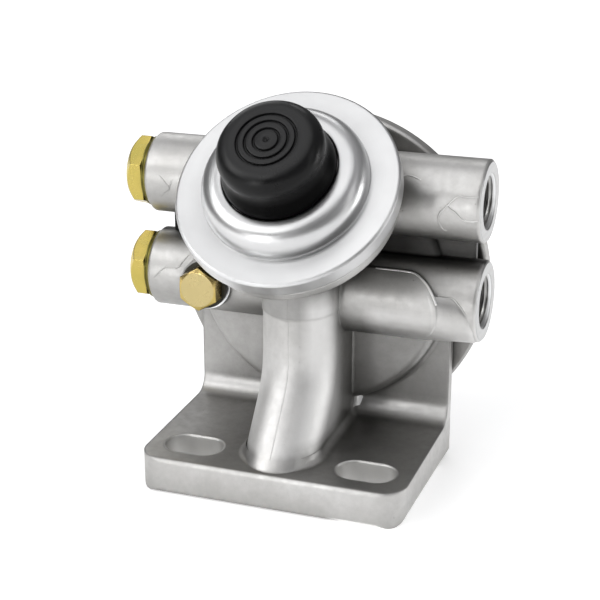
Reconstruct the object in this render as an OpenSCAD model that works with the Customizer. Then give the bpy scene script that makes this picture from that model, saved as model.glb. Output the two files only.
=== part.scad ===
// Fuel filter head with a hand primer pump. Millimetres.
// X runs along the two fuel galleries, -Y is the pump side, +Y the filter side, +Z is up.
// The origin is on the underside of the foot, at the middle of the rear face of the back plate.

/* [Foot and back plate] */
// Width of the foot and the back plate
foot_w = 90; // [80:1:110]
// Depth of the foot from the rear face to its front edge
foot_d = 61.5; // [56:0.5:75]
// Thickness of the foot
foot_t = 12; // [8:0.5:16]
// Rise of the top of the foot from its front edge to the back plate
foot_rise = 1.8; // [0:0.1:3]
// Radius of the two front corners of the foot
foot_corner_r = 8; // [3:0.5:12]
// Rounding of the cast edges of the foot
edge_r = 1.2; // [0.4:0.1:2]
// Thickness of the back plate
plate_t = 5; // [4:0.5:7]
// Fillet between foot and back plate
plate_fillet_r = 6; // [3:0.5:9]
// Rounding of the lower corners of the back plate
plate_corner_r = 3; // [1:0.5:6]

/* [Mounting slots] */
// Distance between the middles of the two slots
slot_pitch = 59.5; // [54:0.5:66]
// Length of a slot, end to end
slot_len = 20; // [15:0.5:22]
// Width of a slot
slot_w = 13; // [8.5:0.5:14]
// Distance of the slots from the front edge of the foot
slot_inset = 13; // [11:0.5:16]

/* [Filter seat] */
// Height of the filter axis above the underside of the foot
seat_z = 62; // [59:0.5:66]
// Outer diameter of the machined sealing face
seat_od = 108; // [100:1:112]
// Diameter of the cavity inside the sealing face
seat_id = 77; // [74:0.5:82]
// Height of the sealing face behind the back plate
seat_y = 7.2; // [6:0.2:9]
// How far the rim stands out round the sealing face
rim_lip = 1.4; // [0.5:0.1:2.5]
// Thickness of the rim
rim_t = 6.4; // [5:0.2:8]
// Depth of the cavity below the sealing face
cavity_depth = 13.2; // [11:0.2:15]
// Wall of the cup round the cavity
cup_wall = 5.5; // [4:0.5:7]
// Floor of the cup
cup_floor = 4.5; // [3.5:0.5:6]

/* [Galleries] */
// Outer diameter of the two galleries
gallery_od = 27; // [26:0.5:28.5]
// How far the ends of a gallery stand out past the rim of the filter seat
gallery_out = 2.1; // [1.5:0.1:6]
// Distance of the gallery axes in front of the rear face
gallery_y = 10; // [9:0.5:11]
// Height of the upper gallery axis
upper_z = 94; // [92:0.5:96]
// Height of the lower gallery axis
lower_z = 60.5; // [59:0.5:62]
// Diameter of the fuel passage along a gallery
passage_d = 10; // [6:0.5:11]
// Thickness of the web that joins the galleries
web_t = 2.5; // [2:0.25:5]
// Distance of the middle of that web in front of the rear face
web_y = 7.2; // [6:0.2:10]
// Distance from the end of a gallery to the end of that web
web_inset = 4.2; // [1.5:0.1:6]

/* [Ports] */
// Wall diameter of a threaded port
port_d = 16.4; // [14:0.2:18]
// Depth of a threaded port
port_depth = 17; // [14:0.5:20]
// Lead-in chamfer of a port
port_chamfer = 1.1; // [0.5:0.1:1.5]
// Radial clearance of every thread drawn as a plain cylinder
thread_gap = 0.05; // [0.02:0.01:0.1]

/* [Port plugs] */
// Width across flats of a plug
plug_af = 22; // [21:0.5:24]
// Height of a plug head
plug_head_h = 5.8; // [5:0.2:9]
// Length of the plug thread past the sealing washer
plug_thread_len = 11; // [8:0.5:12]
// Outer diameter of a plug washer
plug_washer_d = 24.2; // [22.5:0.2:25]
// Thickness of a plug washer
plug_washer_t = 1.9; // [1:0.1:2.5]
// Clearance between a washer and the thread inside it
washer_gap = 0.3; // [0.2:0.05:0.5]

/* [Vent screw] */
// Distance of the vent screw from the plugged end of the lower gallery
vent_inset = 22.5; // [20:0.5:26]
// Width across flats of the vent screw
vent_af = 13; // [12:0.5:14]
// Height of the vent screw head
vent_head_h = 5.4; // [4:0.2:6]
// Diameter of the vent screw thread
vent_thread_d = 8; // [6:0.5:9]
// Length of the vent screw thread
vent_thread_len = 10; // [8:0.5:12]
// Outer diameter of the vent washer
vent_washer_d = 16.2; // [13.5:0.1:16.5]
// Thickness of the vent washer
vent_washer_t = 1.8; // [1:0.1:2.5]
// Diameter of the spot face under the vent washer
vent_boss_d = 17.5; // [16.8:0.1:19]
// How far the spot face stands out from the gallery
vent_boss_h = 1.2; // [0.8:0.1:2.5]

/* [Leg] */
// Radius of the round leg under the pump
leg_r = 12.6; // [11.5:0.1:14]
// Distance of the leg axis in front of the rear face at its top
leg_y = 27; // [25:0.5:29]
// Height of the point where the leg starts to bend forwards
leg_bend_z = 44; // [42:0.5:48]
// Angle of the leg where it meets the foot
leg_angle = 38; // [30:1:42]
// Radius of the bend at the leg axis
leg_bend_r = 32; // [26:1:36]
// How far each side of the rib behind the leg stands back from the side of the leg
rib_inset = 0.1; // [0.1:0.1:3]
// Fillet round the root of the leg and the rib
root_fillet_r = 3; // [1.5:0.5:4]

/* [Primer pump] */
// Distance of the pump cover in front of the rear face
pump_y = 41; // [39:0.5:43]
// Height of the middle of the pump cover
pump_z = 102; // [100:0.5:104]
// Tilt of the pump axis above the horizontal
pump_tilt = 47; // [42:1:52]
// Diameter of the pump cover
cover_d = 72; // [68:0.5:76]
// Height of the rim of the pump cover
cover_rim_h = 6; // [5:0.5:8]
// Thickness of the flat ring of the pump cover
cover_t = 3; // [2.5:0.25:4]
// Diameter at the foot of the raised shoulder
shoulder_d = 53.4; // [50:0.2:56]
// Height of the raised shoulder
shoulder_h = 8.6; // [8:0.2:10]
// Bore in the shoulder that the push cap slides in
well_d = 36.4; // [35.6:0.2:38]
// Radial clearance of the push cap in that bore
cap_gap = 0.8; // [0.4:0.1:1.2]
// Height of the floor of the bore above the flat ring
well_floor = 1; // [0.5:0.1:1.5]
// Thickness of that floor
well_floor_t = 2.5; // [2:0.25:3.5]

/* [Push cap and plunger] */
// Height of the push cap
cap_h = 15.7; // [14:0.1:18]
// Gap between the push cap and the shoulder at rest
cap_rest_gap = 0.3; // [0.2:0.1:1]
// Stroke of the push cap
stroke = 7; // [5:0.5:7.5]
// Wall of the push cap
cap_wall = 2.4; // [1.8:0.1:3]
// Diameter of the plunger rod
rod_d = 8; // [6:0.5:9]
// Diameter of the threaded lower end of the rod
rod_thread_d = 6; // [5:0.5:6.5]
// Radial clearance of the rod in its guide
rod_gap = 0.05; // [0.02:0.01:0.1]
// Diameter of the head of the rod inside the push cap
rod_head_d = 18; // [15:0.5:19]
// Thickness of the head of the rod
rod_head_t = 2.2; // [1.5:0.1:3]
// Wire diameter of the return spring
spring_wire = 1.5; // [1.2:0.1:1.8]
// Mean diameter of the return spring
spring_d = 23; // [21.5:0.5:24]
// Active turns of the return spring
spring_turns = 4; // [3:0.5:5]

/* [Diaphragm] */
// Thickness of the diaphragm
diaphragm_t = 1.5; // [1:0.1:2]
// Width of the clamped edge of the diaphragm
clamp_w = 4.5; // [3.5:0.5:5]
// Diameter of the two diaphragm plates
disc_d = 26; // [22:1:30]
// Thickness of a diaphragm plate
disc_t = 1; // [0.8:0.1:1.5]
// Width across flats of the rod nut
nut_af = 10; // [9:0.5:11]
// Height of the rod nut
nut_h = 4; // [3:0.25:5]

/* [Filter spigot] */
// Diameter of the spigot thread
spigot_thread_d = 27; // [25:0.5:28.6]
// Length of the spigot thread
spigot_thread_len = 12; // [10:0.5:14]
// Diameter of the spigot collar
collar_d = 32.6; // [30:0.2:34]
// Thickness of the spigot collar
collar_t = 4.8; // [3:0.2:6]
// Diameter of the smooth nose
nose_d = 20.4; // [18:0.2:22]
// Length of the smooth nose
nose_len = 8; // [5:0.5:9]
// Length of the shoulder between thread and nose
land_len = 7.8; // [6:0.2:10]
// Bore of the spigot
spigot_bore_d = 13.8; // [11:0.2:14]
// Diameter of the spigot stem in the casting
stem_d = 20; // [18.5:0.5:21]
// Diameter of the rubber seal under the collar
seal_d = 34.4; // [33:0.2:36]
// Thickness of the rubber seal
seal_t = 4.5; // [3:0.1:5]

/* [Check valves] */
// Place of the inlet valve along X
inlet_x = 17.5; // [17:0.5:18.5]
// Height of the inlet valve above the filter axis
inlet_dz = 21.5; // [20.5:0.5:22]
// Place of the outlet valve along X
outlet_x = 2; // [1:0.5:3]
// Height of the outlet valve above the filter axis
outlet_dz = 27.3; // [26.5:0.2:28]
// Radius of the round ends of the valve plate
lobe_r = 9.2; // [8.5:0.1:9.6]
// Thickness of the metal valve plate
valve_plate_t = 0.8; // [0.6:0.1:1.2]
// Thickness of the rubber valve membrane
membrane_t = 1.6; // [1.2:0.1:2.2]
// Radius of the inlet valve flap
flap_r = 4.3; // [3.8:0.1:4.6]
// Width of the opening round the flap
flap_slot_w = 2.1; // [1.6:0.1:2.4]
// Diameter of the valve rivet
rivet_d = 3; // [2.5:0.5:3.5]
// Lift of the outlet valve disc
valve_lift = 1.2; // [0.8:0.1:1.4]

/* [Hidden] */
// how deep the fillets at the root of the leg are sunk into the rib and the foot
root_sink = 0.06;
$fn = 72;

eps = 0.01;
over = 1;
root3 = sqrt(3);

gallery_r = gallery_od / 2;
port_r = port_d / 2;
seat_r = seat_od / 2;
cavity_r = seat_id / 2;
rim_r = seat_r + rim_lip;
gallery_half = rim_r + gallery_out;
vent_x = vent_inset - gallery_half;
rim_y = seat_y - rim_t;
cavity_y = seat_y - cavity_depth;
cup_r = cavity_r + cup_wall;
cup_y = cavity_y - cup_floor;
slot_y = -foot_d + slot_inset;
edge_chamfer = 0.8;
foot_back_t = foot_t + foot_rise;
foot_draft = atan(foot_rise / (foot_d - edge_r - plate_t));

// The seats inside the cavity, measured along Y from the rear face of the back plate
spigot_boss_h = 5;
spot_face_gap = 0.6;
valve_pad_h = 4.5;
spigot_boss_y = cavity_y + spigot_boss_h;
spot_face_r = seal_d / 2 + spot_face_gap;
collar_y = spigot_boss_y + seal_t;
thread_y = collar_y + collar_t;
land_y = thread_y + spigot_thread_len;
nose_y = land_y + land_len;
tip_y = nose_y + nose_len;
stem_len = 11;
pad_y = cavity_y + valve_pad_h;
plate_top_y = pad_y + valve_plate_t;
membrane_top_y = plate_top_y + membrane_t;
drain_drop = 27;
drain_z = seat_z - drain_drop;
drain_d = 10.4;
drain_boss_d = 14;
drain_boss_h = 2;
drain_depth = 7;
bulge_r = 10.8;
panel_h = 1.2;
panel_w = 22;
valve_pad_grow = 0.8;
block_h = 4.5;
block_points = [[-9, 40], [-9.3, 25.3], [-12.6, 24.4], [-9.8, 16], [-15, 11.6], [-38, 37.4]];

// The pump, measured along its own axis from the flat ring of the cover
thread_rim_gap = 2.5;
housing_top = -cover_t - diaphragm_t;
collar_s = -cover_rim_h - thread_rim_gap;
collar_h = 3.5;
cover_r = cover_d / 2;
skirt_r = cover_r - 4;
housing_rim_r = skirt_r - thread_gap;
housing_collar_r = cover_r - 2;
clamp_r = housing_rim_r - clamp_w;
shoulder_round_r = 7.2;
well_edge_r = 0.6;
hub_r = 8;
hub_bottom = well_floor - well_floor_t - 2.5;
housing_end = -25;
housing_end_r = 20;
chamber_end = -20.5;
chamber_end_r = 14;
chamber_cone_s = -11;

rod_r = rod_d / 2;
rod_thread_r = rod_thread_d / 2;
cap_base = shoulder_h + cap_rest_gap;
cap_r = well_d / 2 - cap_gap;
cap_top = cap_base + cap_h;
cap_roof = cap_top - 3.2;
rod_head_s = cap_top - 5 - rod_head_t;
disc_gap = 0.2;
shoulder_s = hub_bottom - disc_gap;
centre_top = shoulder_s - disc_t;
centre_bottom = centre_top - diaphragm_t;
nut_s = centre_bottom - disc_t - nut_h;
cap_boss_r = rod_head_d / 2 + 1.4;
cap_boss_s = rod_head_s - 1.6;
cap_ring_r = [9.3, 6.9, 4.6, 2.5];
seal_groove_r = 6.5;
seal_groove_h = 2;
spring_seat_gap = 0.05;
plug_turn = -9;
plug_bevel = 44;
hex_bevel = 25;
hex_flat_inset = 0.6;

// The leg below its neck
leg_cut_z = foot_t - 1;
bend_y = leg_y + leg_bend_r * (1 - cos(leg_angle));
bend_z = leg_bend_z - leg_bend_r * sin(leg_angle);
leg_tail = (bend_z - leg_cut_z) / cos(leg_angle) + leg_r * tan(leg_angle) + 1;
leg_root_y = bend_y + (bend_z - foot_t) * tan(leg_angle);
rib_half = leg_r - rib_inset;
neck_s = -16;
neck_step = 0.25;
neck_base = [0, -leg_y, leg_bend_z + 14];
neck_top = [0, -pump_y - neck_s * cos(pump_tilt), pump_z + neck_s * sin(pump_tilt)];
neck_len = norm(neck_top - neck_base);
neck_angle = atan2(neck_base[1] - neck_top[1], neck_top[2] - neck_base[2]);

saddle_x = 12;
saddle_end_x = 33.5;
saddle_end_r = 12;
saddle_step = 2.6;
saddle_drop = 0.6;
saddle_top_z = lower_z + 10.7;

// Check valve details
valve_port_r = 3.4;
valve_boss_r = 6.4;
valve_boss_inset = 11;
membrane_inset = 0.4;
rivet_head_r = 2.5;
rivet_head_h = 1;
rivet_tail_r = 2.1;
rivet_tail_h = 0.7;
housing_r = lobe_r - membrane_inset;
housing_wall = 2.6;
housing_roof = 1.2;
window_r = 2.9;
disc_r = 5.2;
disc_rim_gap = 0.6;
valve_disc_t = 1;
disc_seat_gap = 0.05;
disc_seat_y = plate_top_y + disc_seat_gap;
valve_spring_room = 2.15;
roof_y = disc_seat_y + valve_disc_t + valve_lift + valve_spring_room;
housing_top_y = roof_y + housing_roof;
valve_spring_wire = 0.5;
valve_spring_r = 3.2;

// The frames of the sub-assemblies
module pump_frame() {
    translate([0, -pump_y, pump_z]) rotate([90 - pump_tilt, 0, 0]) children();
}

module seat_frame() {
    translate([0, 0, seat_z]) rotate([-90, 0, 0]) children();
}

module vent_frame() {
    translate([vent_x, -gallery_y - gallery_r - vent_boss_h, lower_z]) rotate([90, 0, 0]) children();
}

module left_port_frame(z) {
    translate([-gallery_half, -gallery_y, z]) rotate([0, -90, 0]) children();
}

module right_port_frame(z) {
    translate([gallery_half, -gallery_y, z]) rotate([0, 90, 0]) children();
}

// A cylinder along X that starts at x0
module rod_x(x0, x1, y, z, r) {
    translate([x0, y, z]) rotate([0, 90, 0]) cylinder(h = x1 - x0, r = r);
}

// A cylinder along Y that starts at y0
module rod_y(y0, y1, x, z, r) {
    translate([x, y0, z]) rotate([-90, 0, 0]) cylinder(h = y1 - y0, r = r);
}

// Points of an arc from angle a0 to angle a1
function arc(cx, cy, r, a0, a1, n = 8) =
    [for (i = [0:n]) [cx + r * cos(a0 + (a1 - a0) * i / n), cy + r * sin(a0 + (a1 - a0) * i / n)]];

// What is left of a square corner outside a round of radius r, with the corner at the origin
module corner_waste(r) {
    difference() {
        translate([-eps, -eps]) square(r + eps);
        translate([r, r]) circle(r);
    }
}

// A rectangle from the origin, with its lower and its upper corners rounded
module round_rect(w, h, r_low, r_high) {
    difference() {
        square([w, h]);
        for (side = [0, 1]) {
            translate([side * w, 0]) mirror([side, 0]) corner_waste(r_low);
            translate([side * w, h]) mirror([side, 0]) mirror([0, 1]) corner_waste(r_high);
        }
    }
}

// Side view of foot and back plate, drawn with -Y to the right and Z upwards
module side_profile() {
    fillet_x = plate_t + plate_fillet_r;
    touch_x = fillet_x - plate_fillet_r * sin(foot_draft);
    touch_z = foot_back_t - (touch_x - plate_t) * tan(foot_draft);
    fillet_z = touch_z + plate_fillet_r * cos(foot_draft);
    union() {
        round_rect(foot_d, foot_t, edge_r, edge_r);
        polygon([[0, edge_r], [foot_d - edge_r, edge_r], [foot_d - edge_r, foot_t],
                 [plate_t, foot_back_t], [0, foot_back_t]]);
        square([plate_t, seat_z]);
        difference() {
            polygon([[plate_t - over, touch_z - over], [touch_x, touch_z - over], [touch_x, touch_z],
                     [fillet_x, fillet_z], [plate_t - over, fillet_z]]);
            translate([fillet_x, fillet_z]) circle(plate_fillet_r);
        }
    }
}

module bracket() {
    intersection() {
        rotate([90, 0, -90]) translate([0, 0, -foot_w / 2]) linear_extrude(foot_w) side_profile();
        translate([-foot_w / 2, -foot_d, -over]) linear_extrude(seat_z + 2 * over)
            round_rect(foot_w, foot_d, foot_corner_r, edge_r);
        translate([-foot_w / 2, over, 0]) rotate([90, 0, 0]) linear_extrude(foot_d + 2 * over)
            round_rect(foot_w, 2 * seat_z, plate_corner_r, plate_corner_r);
    }
}

module slots() {
    run = (slot_len - slot_w) / 2;
    for (side = [-1, 1]) {
        translate([side * slot_pitch / 2, slot_y, -over]) linear_extrude(foot_t + 2 * over)
            union() {
                translate([-run, 0]) circle(slot_w / 2);
                translate([run, 0]) circle(slot_w / 2);
                square([2 * run, slot_w], center = true);
            }
    }
}

// Rim and cup of the filter seat, as one turned form
module seat_body() {
    root_r = 2.5;
    cup_fillet = 2;
    fillet_sink = 0.1;
    seat_frame() rotate_extrude() polygon(concat(
        [[0, cup_y], [cup_r - root_r, cup_y]],
        arc(cup_r - root_r, cup_y + root_r, root_r, -90, 0, 5),
        arc(cup_r + cup_fillet, -plate_t - cup_fillet + fillet_sink, cup_fillet, 180, 90, 6),
        [[cup_r + cup_fillet, rim_y], [rim_r - edge_chamfer, rim_y], [rim_r, rim_y + edge_chamfer],
         [rim_r, seat_y - rim_lip], [seat_r, seat_y], [0, seat_y]]
    ));
}

module gallery(z) {
    right_port_frame(z) translate([0, 0, -2 * gallery_half]) rotate_extrude() polygon([
        [0, 0], [gallery_r - edge_chamfer, 0], [gallery_r, edge_chamfer],
        [gallery_r, 2 * gallery_half - edge_chamfer], [gallery_r - edge_chamfer, 2 * gallery_half],
        [0, 2 * gallery_half]
    ]);
}

module gallery_web() {
    half = gallery_half - web_inset;
    translate([-half, -web_y - web_t / 2, lower_z]) cube([2 * half, web_t, upper_z - lower_z]);
}

// Passage and the two threaded ports of a gallery
module gallery_bores(z) {
    rod_x(-gallery_half - over, gallery_half + over, -gallery_y, z, passage_d / 2);
    for (end = [0, 180]) {
        translate([0, -gallery_y, z]) rotate([0, 90 + end, 0]) translate([0, 0, gallery_half])
            rotate_extrude() polygon([
                [0, -port_depth - port_r * 0.5], [port_r, -port_depth], [port_r, -port_chamfer],
                [port_r + port_chamfer + over, over], [0, over]
            ]);
    }
}

// Thick stretch on the front of the lower gallery, with a ledge on top and a round end
module saddle() {
    intersection() {
        rod_x(saddle_x, saddle_end_x + saddle_end_r, -gallery_y - saddle_step, lower_z - saddle_drop, gallery_r);
        translate([0, -gallery_y, saddle_top_z]) rotate([90, 0, 0]) linear_extrude(gallery_r + saddle_step + over)
            union() {
                translate([saddle_x - over, -2 * gallery_r]) square([saddle_end_x - saddle_x + over, 2 * gallery_r]);
                translate([saddle_end_x, -saddle_end_r]) circle(saddle_end_r);
            }
    }
}

module vent_boss() {
    vent_frame() translate([0, 0, -gallery_r]) cylinder(h = gallery_r, d = vent_boss_d);
}

// The leg is a round post that bends forwards and ends in the foot; its neck carries the pump
module leg() {
    translate([0, -leg_y, leg_bend_z]) cylinder(h = neck_base[2] - leg_bend_z, r = leg_r);
    translate(neck_base) rotate([neck_angle, 0, 0]) cylinder(h = neck_len, r = leg_r + neck_step);
    translate(neck_base) sphere(leg_r);
    translate([0, -leg_y - leg_bend_r, leg_bend_z]) rotate([0, 90, 0])
        rotate_extrude(angle = leg_angle, start = 90 - leg_angle) translate([leg_bend_r, 0]) circle(leg_r);
    intersection() {
        translate([0, -bend_y, bend_z]) rotate([180 - leg_angle, 0, 0]) cylinder(h = leg_tail, r = leg_r);
        translate([-foot_w / 2, -foot_d - over, leg_cut_z]) cube([foot_w, foot_d, seat_z]);
    }
}

// The rib that ties the leg to the back plate follows the leg's own axis
module leg_rib() {
    low_z = foot_t / 2;
    rotate([90, 0, -90]) translate([0, 0, -rib_half]) linear_extrude(2 * rib_half) polygon(concat(
        [[1, low_z], [bend_y + (bend_z - low_z) * tan(leg_angle), low_z]],
        arc(leg_y + leg_bend_r, leg_bend_z, leg_bend_r, 180 + leg_angle, 180, 8),
        [[leg_y, upper_z], [1, upper_z]]
    ));
}

// Fillets between the top of the foot and the rib and leg that stand on it
module root_fillets() {
    run = leg_root_y - plate_t;
    translate([0, -plate_t, foot_back_t - root_sink]) rotate([foot_draft, 0, 0]) {
        for (side = [0, 1]) {
            mirror([side, 0, 0]) translate([rib_half - root_sink, 0, 0]) rotate([90, 0, 0]) linear_extrude(run)
                corner_waste(root_fillet_r);
        }
        translate([0, -run, 0]) rotate_extrude() translate([rib_half, 0]) corner_waste(root_fillet_r);
    }
}

// Pump housing on the front of the galleries
module pump_housing() {
    pump_frame() rotate_extrude() polygon([
        [0, housing_end], [housing_end_r, housing_end],
        [housing_collar_r - 1, collar_s - collar_h - 1], [housing_collar_r, collar_s - collar_h],
        [housing_collar_r, collar_s], [housing_rim_r, collar_s], [housing_rim_r, housing_top],
        [0, housing_top]
    ]);
}

module pump_chamber() {
    pump_frame() rotate_extrude() polygon([
        [0, chamber_end], [chamber_end_r, chamber_end], [clamp_r, chamber_cone_s],
        [clamp_r, housing_top - edge_chamfer], [clamp_r + edge_chamfer, housing_top],
        [clamp_r + edge_chamfer, housing_top + over], [0, housing_top + over]
    ]);
}

// Seats cast inside the filter cavity, cut to the wall of the cavity
module valve_outline(grow = 0) {
    r = lobe_r + grow;
    run = [outlet_x - inlet_x, outlet_dz - inlet_dz];
    neck_w = 1.24 * r;
    union() {
        translate([inlet_x, inlet_dz]) circle(r);
        translate([outlet_x, outlet_dz]) circle(r);
        translate([inlet_x, inlet_dz]) rotate(atan2(run[1], run[0]))
            translate([0, -neck_w / 2]) square([norm(run), neck_w]);
    }
}

module valve_layer(y0, thickness) {
    translate([0, y0 + thickness, seat_z]) rotate([90, 0, 0]) linear_extrude(thickness) children();
}

module cavity_seats() {
    intersection() {
        union() {
            valve_layer(cavity_y - over, pad_y - cavity_y + over) valve_outline(valve_pad_grow);
            rod_y(cavity_y - over, spigot_boss_y, 0, seat_z, spot_face_r);
            rod_y(cavity_y - over, cavity_y + drain_boss_h, 0, drain_z, drain_boss_d / 2);
            rod_x(-cavity_r - over, cavity_r + over, -gallery_y, lower_z, bulge_r);
            valve_layer(cavity_y - over, block_h + over) polygon(block_points);
            valve_layer(cavity_y - over, panel_h + over)
                translate([-panel_w / 2, -cavity_r - over]) square([panel_w, cavity_r]);
        }
        rod_y(cup_y + over, seat_y - over, 0, seat_z, cavity_r + over);
    }
}

module casting_bores() {
    gallery_bores(upper_z);
    gallery_bores(lower_z);
    rod_y(spigot_boss_y - stem_len, spigot_boss_y + over, 0, seat_z, stem_d / 2 + thread_gap);
    rod_y(spigot_boss_y, seat_y, 0, seat_z, spot_face_r);
    rod_y(cavity_y + drain_boss_h - drain_depth, cavity_y + drain_boss_h + over, 0, drain_z, drain_d / 2);
    rod_y(-pump_y + 1, pad_y + over, inlet_x, seat_z + inlet_dz, valve_port_r);
    rod_y(-gallery_y, pad_y + over, outlet_x, seat_z + outlet_dz, valve_port_r);
    vent_frame() translate([0, 0, -gallery_r - vent_boss_h]) cylinder(
        h = gallery_r + vent_boss_h + over, r = vent_thread_d / 2 + thread_gap);
}

module head_casting() {
    color("#b9bcbd") difference() {
        union() {
            difference() {
                union() {
                    bracket();
                    seat_body();
                    gallery(upper_z);
                    gallery(lower_z);
                    gallery_web();
                    saddle();
                    vent_boss();
                    leg();
                    leg_rib();
                    root_fillets();
                    pump_housing();
                    rod_y(-pump_y + valve_boss_inset, -gallery_y, inlet_x, seat_z + inlet_dz, valve_boss_r);
                }
                rod_y(cavity_y, seat_y + over, 0, seat_z, cavity_r);
            }
            cavity_seats();
        }
        slots();
        pump_chamber();
        casting_bores();
    }
}

// Half section of the cover: hub, floor of the well, flat ring and rim
module cover_section() {
    rim_edge = 0.5;
    ring_edge = 0.7;
    polygon([
        [rod_r + rod_gap, hub_bottom], [hub_r, hub_bottom], [hub_r, well_floor - well_floor_t],
        [clamp_r, well_floor - well_floor_t], [clamp_r, -cover_t], [skirt_r, -cover_t],
        [skirt_r, -cover_rim_h], [cover_r - rim_edge, -cover_rim_h], [cover_r, -cover_rim_h + rim_edge],
        [cover_r, -ring_edge], [cover_r - ring_edge, 0], [well_d / 2, 0], [well_d / 2, well_floor],
        [seal_groove_r, well_floor], [seal_groove_r, well_floor - seal_groove_h],
        [rod_r + rod_gap, well_floor - seal_groove_h]
    ]);
}

// Half section of the round shoulder that stands on the flat ring
module shoulder_section() {
    well_r = well_d / 2;
    round_x = shoulder_d / 2 - shoulder_round_r;
    round_s = shoulder_h - shoulder_round_r;
    difference() {
        union() {
            translate([well_r, -over]) square([shoulder_d / 2 - well_r, round_s + over]);
            translate([well_r, 0]) square([round_x - well_r, shoulder_h]);
            intersection() {
                translate([round_x, round_s]) circle(shoulder_round_r);
                translate([round_x - eps, round_s - eps]) square(shoulder_round_r + over);
            }
        }
        translate([well_r, shoulder_h]) mirror([0, 1]) corner_waste(well_edge_r);
    }
}

module pump_cover() {
    color("#d9dbdb") pump_frame() rotate_extrude() union() {
        cover_section();
        shoulder_section();
    }
}

// Ring that seals the rod, pressed into the hub of the cover
module rod_seal() {
    color("#1b1b1c") pump_frame() translate([0, 0, well_floor - seal_groove_h])
        rotate_extrude() polygon([
            [rod_r + rod_gap, 0], [seal_groove_r - rod_gap, 0], [seal_groove_r - rod_gap, seal_groove_h - 0.3],
            [rod_r + 1, seal_groove_h - 0.1], [rod_r + rod_gap, seal_groove_h - 0.4]
        ]);
}

module push_cap() {
    skirt_in = cap_r - cap_wall;
    body_r = cap_r - 0.7;
    crown_r = 4;
    groove_w = 0.35;
    color("#1c1c1d") pump_frame() rotate_extrude() polygon(concat(
        [[skirt_in, cap_base], [cap_r - 0.4, cap_base], [cap_r, cap_base + 0.5], [cap_r, cap_base + 2.2],
         [body_r - 0.3, cap_base + 3], [body_r - 0.2, cap_base + 6]],
        arc(body_r - crown_r, cap_top - crown_r, crown_r, 0, 90, 7),
        [for (r = cap_ring_r) for (step = [1, 0, -1])
            [r + step * groove_w, cap_top - (step == 0 ? groove_w : 0)]],
        [[0.7, cap_top], [0, cap_top - groove_w], [0, rod_head_s + rod_head_t],
         [rod_head_d / 2, rod_head_s + rod_head_t], [rod_head_d / 2, rod_head_s],
         [rod_r + rod_gap, rod_head_s], [rod_r + rod_gap, cap_boss_s], [cap_boss_r, cap_boss_s],
         [cap_boss_r, cap_roof], [skirt_in, cap_roof]]
    ));
}

module plunger_rod() {
    head_r = rod_head_d / 2 - rod_gap;
    color("#a8abad") pump_frame() rotate_extrude() polygon([
        [0, nut_s - 1], [rod_thread_r - 0.5, nut_s - 1], [rod_thread_r, nut_s - 0.5],
        [rod_thread_r, shoulder_s], [rod_r, shoulder_s], [rod_r, rod_head_s + rod_gap],
        [head_r, rod_head_s + rod_gap], [head_r, rod_head_s + rod_head_t - rod_gap],
        [0, rod_head_s + rod_head_t - rod_gap]
    ]);
}

// Height of a spring wire: one closed turn at each end, the active turns between them
function spring_height(turn, total, free, wire) =
    let (pitch = (free - 3 * wire) / (total - 2))
    turn < 1 ? wire * (0.5 + turn)
    : turn > total - 1 ? free - wire * (0.5 + total - turn)
    : wire * 1.5 + pitch * (turn - 1);

// A coil spring along +Z from the origin, swept as one closed tube
module coil_spring(free, mean_r, wire, active, top_r) {
    total = active + 2;
    per_turn = 20;
    sides = 8;
    rings = total * per_turn;
    points = [
        for (i = [0:rings])
            let (turn = i / per_turn, a = turn * 360, h = spring_height(turn, total, free, wire))
            let (r = mean_r + (top_r - mean_r) * i / rings)
            for (k = [0:sides - 1])
                let (b = k * 360 / sides, rr = r + wire / 2 * cos(b))
                [rr * cos(a), rr * sin(a), h + wire / 2 * sin(b)]
    ];
    body = [
        for (i = [0:rings - 1], k = [0:sides - 1])
            let (n = (k + 1) % sides, p = i * sides, q = p + sides)
            [p + k, q + k, q + n, p + n]
    ];
    start_cap = [[for (k = [0:sides - 1]) k]];
    end_cap = [[for (k = [sides - 1:-1:0]) rings * sides + k]];
    polyhedron(points, concat(body, start_cap, end_cap), convexity = 10);
}

module return_spring() {
    free = cap_roof - well_floor - 2 * spring_seat_gap;
    color("#8f9294") pump_frame() translate([0, 0, well_floor + spring_seat_gap])
        coil_spring(free, spring_d / 2, spring_wire, spring_turns, spring_d / 2);
}

module diaphragm() {
    edge = skirt_r - 0.3;
    bend_in = disc_d / 2 + 1.5;
    bend_out = clamp_r - 2.5;
    color("#202021") pump_frame() rotate_extrude() polygon([
        [rod_thread_r + thread_gap, centre_bottom], [bend_in, centre_bottom], [bend_out, -cover_t - diaphragm_t],
        [edge, -cover_t - diaphragm_t], [edge, -cover_t], [bend_out - 0.6, -cover_t],
        [bend_in - 0.6, centre_top], [rod_thread_r + thread_gap, centre_top]
    ]);
}

module diaphragm_plate(s0) {
    rim = 0.25;
    color("#b4b7b9") pump_frame() translate([0, 0, s0]) rotate_extrude() polygon([
        [rod_thread_r + thread_gap, 0], [disc_d / 2 - rim, 0], [disc_d / 2, rim],
        [disc_d / 2, disc_t - rim], [disc_d / 2 - rim, disc_t], [rod_thread_r + thread_gap, disc_t]
    ]);
}

module diaphragm_plate_upper() {
    diaphragm_plate(centre_top);
}

module diaphragm_plate_lower() {
    diaphragm_plate(centre_bottom - disc_t);
}

// A hexagonal prism whose outer end is turned to a cone round a flat disc
module hex_head(af, h, bevel) {
    corner_r = af / root3;
    flat_r = af / 2 - hex_flat_inset;
    intersection() {
        cylinder(h = h, r = corner_r, $fn = 6);
        rotate_extrude() polygon([
            [0, 0], [corner_r + over, 0], [corner_r + over, h - (corner_r + over - flat_r) * tan(bevel)],
            [flat_r, h], [0, h]
        ]);
    }
}

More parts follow.
